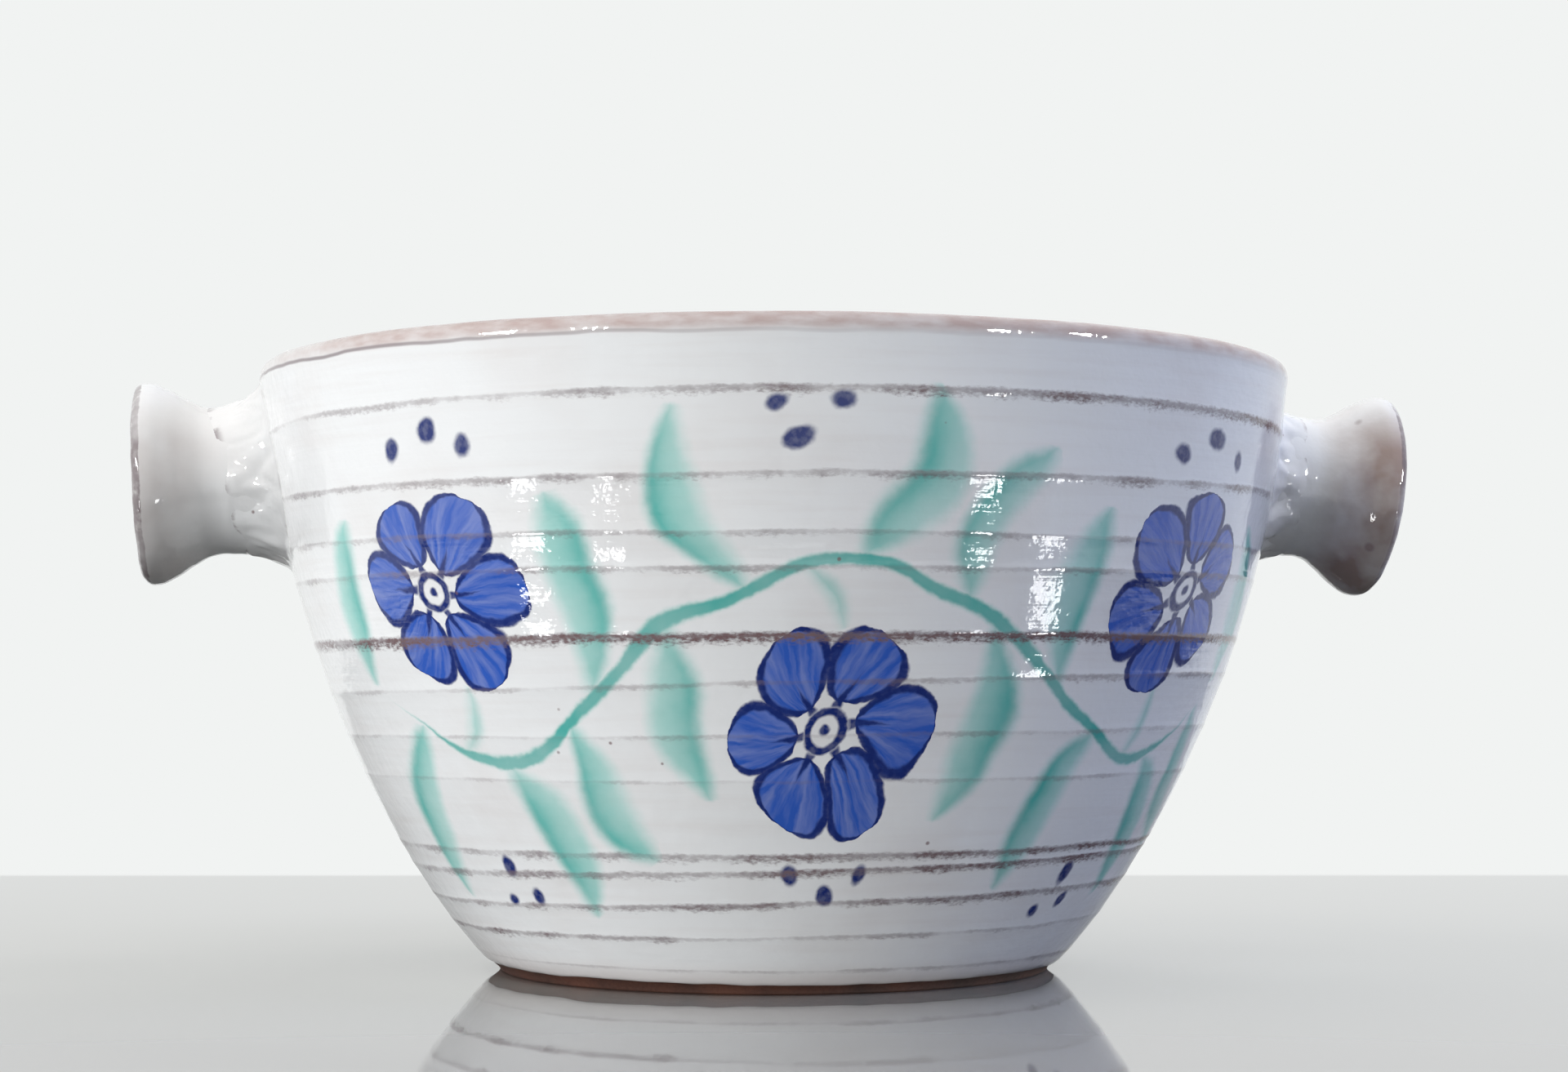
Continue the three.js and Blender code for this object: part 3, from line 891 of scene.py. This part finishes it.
def iron_specks(add, spot, base, colours, spacing, largest=0.55, strength=0.75):
    """Sparse pinholes and iron specks of up to the largest radius, in millimetres."""
    cells = add("ShaderNodeTexVoronoi", {"Vector": spot, "Scale": 1 / spacing})
    away = add("MULTIPLY", [cells, spacing])
    chance = add("ShaderNodeSeparateColor", [cells.node.outputs["Color"]])
    size = add(RANGE, [chance, 0.62, 1.0, 0, largest])
    speck = add(RANGE, [add("SUBTRACT", [away, size]), 0.0, -0.4 * largest, 0, strength])
    return add(MIX, {SHARE: speck, LOW: base, HIGH: colours.break_red}, **BLENDED)


# Heights on the wall, in millimetres, where the wiped crown of the rim begins and is full, between which
# the line under the rim wavers, and where the grey band over the glaze's edge begins and is full
CROWN = (112.0, 114.2)
RIM_LINE = (112.5, 113.1)
SKIRT = (7.0, 1.8)


def bowl_glaze(colours):
    """Tin-glazed earthenware, dipped: opaque white gloss, painted, that breaks brown on every ridge."""
    material, principled, add, spot = shader("tin_glaze_dipped_and_painted")
    breaks, marks = ring_breaks(add, spot)
    outside, right = marks["outside"], marks["right"]
    wash, depth, petals, line = painted_vine(add, spot)
    height = add(SPLIT, [spot], out=2)

    # The brush leaves its colour in uneven pools, thinner where the hair lifted
    pools = add(NOISE, {"Vector": spot, "Scale": 1 / 11, "Detail": 3.0})
    load = add(RANGE, [pools, 0.32, 0.66, 0.8, 1.0])
    speckle = add(NOISE, {"Vector": spot, "Scale": 1 / 1.3, "Detail": 2.0})
    dense = add(RANGE, [speckle, 0.35, 0.6, 0.9, 1.0])
    leaf_colour = add(MIX, {SHARE: depth, LOW: colours.leaf, HIGH: colours.leaf_dark}, **BLENDED)
    laid = add("MULTIPLY", [wash, add(RANGE, [depth, 0, 0.6, 0.62, 1.0])])
    leaf = add("MULTIPLY", [laid, load])
    line = add("MULTIPLY", [line, dense])

    # The rim was wiped, so its crown and the strip under it are thin and pinkish
    streak = add(VECTOR_MATH, [spot, (0.16, 0.16, 0.5)], operation="MULTIPLY")
    wiped = add(NOISE, {"Vector": streak, "Scale": 1.0, "Detail": 4.0})
    crown = add(RANGE, [height, *CROWN, 0, 1], **SMOOTHED)
    blush = add("MULTIPLY", [crown, add(RANGE, [wiped, 0.34, 0.62, 0.55, 1.0])])
    # The glaze stayed thicker at the left handle
    blush = add("MULTIPLY", [blush, add(RANGE, [right, -0.98, -0.7, 0.3, 1.0])])

    # A thin brown line runs under the rim, strongest on the left
    waver = add(NOISE, {"Vector": spot, "Scale": 1 / 18, "Detail": 2.0})
    line_height = add(RANGE, [waver, 0.3, 0.7, *RIM_LINE])
    off_line = add("ABSOLUTE", [add("SUBTRACT", [height, line_height])])
    rim_line = add(RANGE, [off_line, 0.5, 0.1, 0, 1], **SMOOTHED)
    rim_line = add("MULTIPLY", [rim_line, add(RANGE, [right, -0.8, 0.2, 0.8, 0.1])])

    # Grey-brown band just above the glaze's edge, greyer towards the bottom, and the darkest part of the
    # breaks
    skirt = add(RANGE, [height, *SKIRT, 0, 0.6], **SMOOTHED)
    deep = add(RANGE, [breaks, 0.72, 0.98, 0, 0.75])

    # Each layer lies over the ones before it, and only the blush runs over the rim
    toned = white_glaze(add, spot, colours, streaked=True)
    layers = ((leaf, leaf_colour), (petals, colours.blossom), (line, colours.blossom_dark),
              (blush, colours.rim_blush), (rim_line, colours.break_brown), (skirt, colours.glaze_thin),
              (breaks, colours.break_brown), (deep, colours.break_red))
    for share, colour in layers:
        shown = share if share is blush else add("MULTIPLY", [share, outside])
        toned = add(MIX, {SHARE: shown, LOW: toned, HIGH: colour}, **BLENDED)
    plug(principled, {"Base Color": iron_specks(add, spot, toned, colours, 9.0),
                      **glaze_skin(add, spot, 0.05, striations=True)})
    return material


# Where the glaze begins to thin on a handle and is thinnest, in millimetres: along its flare, over its
# ragged lip, and, for painted shade that deepens the blush, from its top down
THIN_FLARE = (7, 19)
WORN_LIP = (25.2, 26.2)
SHADE_BELOW_TOP = (113, 97)


def handle_glaze(colours):
    """The same glaze on thrown spools: gloss, with brown showing where it ran off the flare and the lip, and
    painted shade that deepens the blush on the right handle and low down.
    """
    material, principled, add, spot = shader("tin_glaze_on_thrown_spool")
    along, outside = (add("ShaderNodeAttribute", out=2, attribute_name=name)
                      for name in ("along", "outside"))
    cloud = add(NOISE, {"Vector": spot, "Scale": 1 / 11, "Detail": 3.0})
    flare = add(RANGE, [along, *THIN_FLARE, 0, 1], **SMOOTHED)
    # The right handle was fired browner, and on both the glaze lies thick on top
    # Painted shade: the blush grows on the right handle and towards the bottom of both, standing in for
    # shade
    place = add(SPLIT, [spot])
    right_side_shade = add(RANGE, [place, -60, 60, 0.3, 1.0])
    shade_downwards = add(RANGE, [place.node.outputs[2], *SHADE_BELOW_TOP, 0.1, 1], **SMOOTHED)
    painted_shade_share = add("MULTIPLY", [right_side_shade, shade_downwards])
    thin = add("MULTIPLY", [flare, add(RANGE, [cloud, 0.34, 0.62, 0.55, 1.15])])
    # From here the blush share holds thin glaze and painted shade together
    thin = add("MULTIPLY", [add("MULTIPLY", [thin, painted_shade_share]), outside])
    # The lip is worn to a ragged brown line
    crumbs = add(NOISE, {"Vector": spot, "Scale": 1 / 1.6, "Detail": 3.0})
    ragged = add("MULTIPLY_ADD", [crumbs, 2.2, along])
    lip = add(RANGE, [ragged, *WORN_LIP, 0, 0.68], **SMOOTHED)
    worn = add("MULTIPLY", [lip, add(RANGE, [cloud, 0.38, 0.58, 0.35, 1.15])])
    toned = white_glaze(add, spot, colours)
    for share, colour in ((thin, colours.handle_blush), (worn, colours.break_brown)):
        toned = add(MIX, {SHARE: share, LOW: toned, HIGH: colour}, **BLENDED)
    toned = iron_specks(add, spot, toned, colours, 13.0, largest=1.5, strength=0.5)
    plug(principled, {"Base Color": iron_specks(add, spot, toned, colours, 7.0),
                      **glaze_skin(add, spot, 0.055)})
    return material


def coil_glaze(colours):
    """The same glaze over clay pushed by a thumb: gloss, with brown pits where it drew back in a crease."""
    material, principled, add, spot = shader("tin_glaze_over_worked_clay")
    along = add("ShaderNodeAttribute", out=2, attribute_name="along")
    cloud = add(NOISE, {"Vector": spot, "Scale": 1 / 5, "Detail": 4.0, "Roughness": 0.65})
    crease = add(RANGE, [along, 0.0, 0.16, 1, 0], **SMOOTHED)
    edge = add(RANGE, [along, 0.88, 1.0, 0, 1], **SMOOTHED)
    seam = add("MAXIMUM", [crease, edge])
    drawn = add("MULTIPLY", [seam, add(RANGE, [cloud, 0.47, 0.6, 0, 0.8])])
    ground = white_glaze(add, spot, colours)
    toned = add(MIX, {SHARE: drawn, LOW: ground, HIGH: colours.break_brown}, **BLENDED)
    plug(principled, {"Base Color": iron_specks(add, spot, toned, colours, 5.0),
                      **glaze_skin(add, spot, 0.055)})
    return material


def bare_clay(colours):
    """Fired red earthenware, turned and left bare: matt, grainy, toasted darker in patches."""
    material, principled, add, spot = shader("red_earthenware_turned")
    patches = add(NOISE, {"Vector": spot, "Scale": 1 / 12, "Detail": 4.0})
    grit = add(NOISE, {"Vector": spot, "Scale": 1 / 0.7, "Detail": 3.0, "Roughness": 0.7})
    toasted = add(RANGE, [patches, 0.35, 0.65, 0.1, 0.8])
    grain = add(RANGE, [grit, 0.5, 0.75, 0, 0.35])
    # The clay colour is darkened as painted shade round the foot
    toned = colours.clay
    for share in (toasted, grain):
        toned = add(MIX, {SHARE: share, LOW: toned, HIGH: colours.clay_dark}, **BLENDED)
    plug(principled, {
        "Base Color": toned, "Roughness": add(RANGE, [grit, 0.3, 0.7, 0.7, 0.9]),
        "Normal": add("ShaderNodeBump", {"Strength": 0.6, "Distance": 0.15 * MM, "Height": grit})})
    return material


# Operators

class HANDLEDBOWL_OT_throw_bowl(bpy.types.Operator):
    """Throws the bowl, with its rings, rim, foot, painted glaze and bare clay"""
    bl_idname = "handledbowl.throw_bowl"
    bl_label = "Throw the bowl"

    def execute(self, context):
        sizes, colours = context.scene.bowl_sizes, context.scene.bowl_finishes
        curve = WallCurve(sizes)
        rows = [*foot_rows(sizes, curve), *glaze_edge_rows(sizes, curve), *ring_wall_rows(sizes, curve),
                *rim_rows(sizes), *inside_rows(sizes, curve)]
        bowl = throw_form("glazed_bowl", rows, thrown_form_tree(), **{
            "Segments": BOWL_SEGMENTS, "Front": FRONT_ANGLE, "Out of Round": sizes.out_of_round, "Seed": 3.0,
            "Glaze": bowl_glaze(colours), "Clay": bare_clay(colours)})
        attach(bowl, "root")
        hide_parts("bowl_body")
        return {"FINISHED"}


class HANDLEDBOWL_OT_throw_handles(bpy.types.Operator):
    """Throws the two spool handles and sets them on the wall"""
    bl_idname = "handledbowl.throw_handles"
    bl_label = "Throw the handles"

    def execute(self, context):
        sizes, bowl_sizes = context.scene.handle_sizes, context.scene.bowl_sizes
        glaze = handle_glaze(context.scene.bowl_finishes)
        root_depth = bowl_sizes.wall * 0.6
        for seed, side in enumerate(("right", "left")):
            axis = HandleAxis(bowl_sizes, sizes, side)
            rows = handle_rows(sizes, axis.lip_radius, root_depth)
            handle = throw_form(side + "_glazed_handle", rows, bpy.data.node_groups["thrown_form"], **{
                "Segments": HANDLE_SEGMENTS, "Out of Round": 0.28 * MM, "Seed": 7.0 + seed,
                "Axis Start": axis.start, "Axis Turn": Vector(axis.turn), "Glaze": glaze, "Clay": glaze})
            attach(handle, "root")
            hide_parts(side + "_handle")
        return {"FINISHED"}


class HANDLEDBOWL_OT_lute_handles(bpy.types.Operator):
    """Works a coil of clay round each handle's root, out onto the bowl's wall"""
    bl_idname = "handledbowl.lute_handles"
    bl_label = "Lute the handles on"

    def execute(self, context):
        sizes, bowl_sizes = context.scene.handle_sizes, context.scene.bowl_sizes
        wall_tree = surface_tree(bpy.data.objects["glazed_bowl"])
        glaze = coil_glaze(context.scene.bowl_finishes)
        for seed, side in enumerate(("right", "left")):
            handle_tree = surface_tree(bpy.data.objects[side + "_glazed_handle"])
            coil = worked_coil(side + "_worked_coil", HandleAxis(bowl_sizes, sizes, side), sizes,
                               WORKED_CLAY[side], handle_tree, wall_tree, seed=seed * 3.7 + 0.4)
            coil.data.materials.append(glaze)
            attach(coil, "root")
            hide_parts(side + "_luting_coil")
        return {"FINISHED"}


class HANDLEDBOWL_OT_set_stage(bpy.types.Operator):
    """Sets the floor, the soft studio lights, the background and the camera"""
    bl_idname = "handledbowl.set_stage"
    bl_label = "Set the stage"

    def execute(self, context):
        settings = context.scene.bowl_stage
        lay_floor(settings)
        hang_lights()
        set_background(settings)
        set_camera(context.scene)
        context.scene.view_settings.view_transform = "Standard"
        return {"FINISHED"}


# Stage

PIECES = ("glazed_bowl", "right_glazed_handle", "left_glazed_handle", "right_worked_coil",
          "left_worked_coil")
# Soft boxes: angle round from the camera's side and height angle in degrees, distance, width, height, power
# and colour
SOFT_BOXES = {
    "key_light": (-46, 20, 1.1, 0.6, 0.6, 1.9, "#FFFFFF"),
    "low_left_light": (-47, -10, 1.1, 0.6, 0.24, 8.7, "#FDFEFF"),
    "left_handle_light": (-42, 10, 1.1, 0.6, 0.4, 5.6, "#FFFFFF"),
    "right_handle_light": (45, 58, 1.1, 0.5, 0.4, 1.7, "#F4F7FF"),
    "top_light": (-66, 60, 1.1, 0.7, 0.5, 3.5, "#FFF8F0"),
    "high_light": (60, 72, 1.1, 0.5, 0.5, 3.4, "#FFFFFF"),
    "back_light": (155, 55, 1.1, 0.7, 0.5, 5.0, "#FFFFFF"),
    "cool_light": (83, 14, 1.0, 0.5, 0.6, 5.1, "#CDD9FF"),
}
# Lamps that cards keep to some of the things on the stage
FLOORS = ("floor", "floor_in_the_gloss")
CARDED = {
    "low_left_light": (*FLOORS, *(name for name in PIECES if not name.startswith("left"))),
    "left_handle_light": tuple(name for name in PIECES if name.startswith("left")),
    "right_handle_light": tuple(name for name in PIECES if name.startswith("right")),
}
# Small bright panes that only show as glints: angle round, height angle, width, height and brightness
PANES = {
    "left_pane": (-57, 14.8, 0.12, 0.11, 5.5),
    "left_slit": (-37, 13.7, 0.05, 0.11, 3.4),
    "right_pane": (47, 11.7, 0.09, 0.11, 4.6),
    "right_slit": (66.5, 15.4, 0.11, 0.13, 5.0),
}
PANE_DISTANCE = 1.0
ROOM_COLOUR, ROOM_STRENGTH = "#DCE1EA", 0.29
# The floor ends between these distances from the bowl's middle, in millimetres
FLOOR_EDGE = (258, 272)
CAMERA_DISTANCE = 0.5639
CAMERA_HEIGHT = 0.055
CAMERA_PITCH = radians(2.96)
CAMERA_YAW = radians(-0.204)
CAMERA_LENS = 65.79


def lay_floor(settings):
    """A wide floor that fades into the background along a square round the bowl.

    The camera sees one sheet, and the glaze mirrors another like it."""
    radius, around = 6.0, 96
    made = bpy.data.meshes.new("floor")
    made.from_pydata([(radius * cos(TURN * i / around), radius * sin(TURN * i / around), 0)
                      for i in range(around)], [], [list(range(around))])
    material, principled, add, spot = shader("satin_lacquered_board")
    sides = add(SPLIT, [add(VECTOR_MATH, [spot], operation="ABSOLUTE")]).node.outputs
    away = add("MAXIMUM", [sides["X"], sides["Y"]])
    rays = add("ShaderNodeLightPath").node.outputs
    looked_at = add("MAXIMUM", [rays["Is Camera Ray"], rays["Is Glossy Ray"]])
    faded = add("MULTIPLY", [looked_at, add(RANGE, [away, *FLOOR_EDGE, 0, 1], **SMOOTHED)])
    shade = add(MIX, {SHARE: rays["Is Camera Ray"], LOW: settings.floor_bounce, HIGH: settings.floor},
                **BLENDED)
    plug(principled, {"Base Color": shade, "Roughness": 0.025})
    glow = add("ShaderNodeEmission", {"Color": settings.backdrop, "Strength": 1.0})
    blended = add("ShaderNodeMixShader", [faded, principled.outputs[0], glow])
    plug(material.node_tree.nodes["Material Output"], [blended])
    made.materials.append(material)
    seen, mirrored = (placed(name, made) for name in FLOORS)
    mirrored.location.z = -0.2 * MM
    for sheet in (seen, mirrored):
        sheet.rotation_euler.z = FRONT_TURN
        sheet.visible_camera = sheet is seen
        sheet.visible_glossy = sheet.visible_diffuse = sheet is mirrored
        # The low soft box reaches under the edge of the floor
        sheet.visible_shadow = False


def hang_light(name, around, up, far, width, height, power, colour):
    """One soft box that faces the bowl."""
    lamp = bpy.data.lights.new(name, "AREA")
    lamp.shape = "RECTANGLE"
    lamp.size, lamp.size_y = width, height
    lamp.energy = power
    lamp.color = linear(colour)[:3]
    holder = placed(name, lamp)
    heading = FRONT_ANGLE + radians(around)
    rise = radians(up)
    towards = Vector((cos(heading) * cos(rise), sin(heading) * cos(rise), sin(rise)))
    holder.location = towards * far + Vector((0, 0, BOWL_HIGH.z / 2))
    holder.rotation_euler = towards.to_track_quat("Z", "Y").to_euler()
    return holder


def keep_to(lamp, names):
    """Keeps a lamp's light to the things that are named."""
    lit = bpy.data.collections.new("lit_by_" + lamp.name)
    for thing in bpy.data.objects:
        if thing.name in names:
            lit.objects.link(thing)
    lamp.light_linking.receiver_collection = lit


def hang_lights():
    """Soft boxes, and panes that show in the gloss of the pieces but not as spots on the floor."""
    for name, settings in SOFT_BOXES.items():
        box = hang_light(name, *settings)
        box.visible_glossy = False
        if name in CARDED:
            keep_to(box, CARDED[name])
    for name, (around, up, width, height, power) in PANES.items():
        pane = hang_light(name, around, up, PANE_DISTANCE, width, height, power, "#FFFFFF")
        pane.visible_diffuse = False
        pane.data.shape = "ELLIPSE"
        keep_to(pane, (*PIECES, "floor_in_the_gloss"))


def set_background(settings):
    """Even cool light from all round; the camera and the gloss see the pale backdrop itself."""
    world = bpy.data.worlds.new("pale_room")
    world.use_nodes = True
    tree = world.node_tree
    add = partial(add_node, tree)
    light = tree.nodes["Background"]
    plug(light, {"Color": linear(ROOM_COLOUR), "Strength": ROOM_STRENGTH})
    seen = add("ShaderNodeBackground", {"Color": settings.backdrop, "Strength": 1.0})
    rays = add("ShaderNodeLightPath").node.outputs
    looked_at = add("MAXIMUM", [rays["Is Camera Ray"], rays["Is Glossy Ray"]])
    blended = add("ShaderNodeMixShader", [looked_at, light.outputs[0], seen])
    plug(tree.nodes["World Output"], [blended])
    bpy.context.scene.world = world


def set_camera(scene):
    lens = bpy.data.cameras.new("camera")
    lens.sensor_width, lens.lens = 36.0, CAMERA_LENS
    camera = bpy.data.objects.new("camera", lens)
    camera.location = (cos(FRONT_ANGLE) * CAMERA_DISTANCE, sin(FRONT_ANGLE) * CAMERA_DISTANCE, CAMERA_HEIGHT)
    camera.rotation_euler = (pi / 2 + CAMERA_PITCH, 0, FRONT_TURN + CAMERA_YAW)
    scene.collection.objects.link(camera)
    scene.camera = camera


class HANDLEDBOWL_PT_panel(bpy.types.Panel):
    """Lists the steps of making the bowl, with its sizes and colours"""
    bl_idname = "HANDLEDBOWL_PT_panel"
    bl_label = "Handled bowl"
    bl_space_type = "VIEW_3D"
    bl_region_type = "UI"
    bl_category = "Handled bowl"

    def draw(self, context):
        for step in STEPS:
            self.layout.operator(step.bl_idname)
        for name in GROUPS:
            settings = getattr(context.scene, name)
            box = self.layout.box()
            for key in settings.__annotations__:
                box.prop(settings, key)


STEPS = (HANDLEDBOWL_OT_throw_bowl, HANDLEDBOWL_OT_throw_handles, HANDLEDBOWL_OT_lute_handles,
         HANDLEDBOWL_OT_set_stage)
GROUPS = {"bowl_sizes": BowlSizes, "handle_sizes": HandleSizes, "bowl_finishes": Finishes,
          "bowl_stage": StageSettings}


def register():
    for kind in (*GROUPS.values(), *STEPS, HANDLEDBOWL_PT_panel):
        bpy.utils.register_class(kind)
    for name, kind in GROUPS.items():
        setattr(bpy.types.Scene, name, bpy.props.PointerProperty(type=kind))


def unregister():
    for name in GROUPS:
        delattr(bpy.types.Scene, name)
    for kind in reversed((*GROUPS.values(), *STEPS, HANDLEDBOWL_PT_panel)):
        bpy.utils.unregister_class(kind)


def main():
    register()
    bpy.ops.handledbowl.throw_bowl()
    bpy.ops.handledbowl.throw_handles()
    bpy.ops.handledbowl.lute_handles()
    bpy.ops.handledbowl.set_stage()


if __name__ == "__main__":
    main()
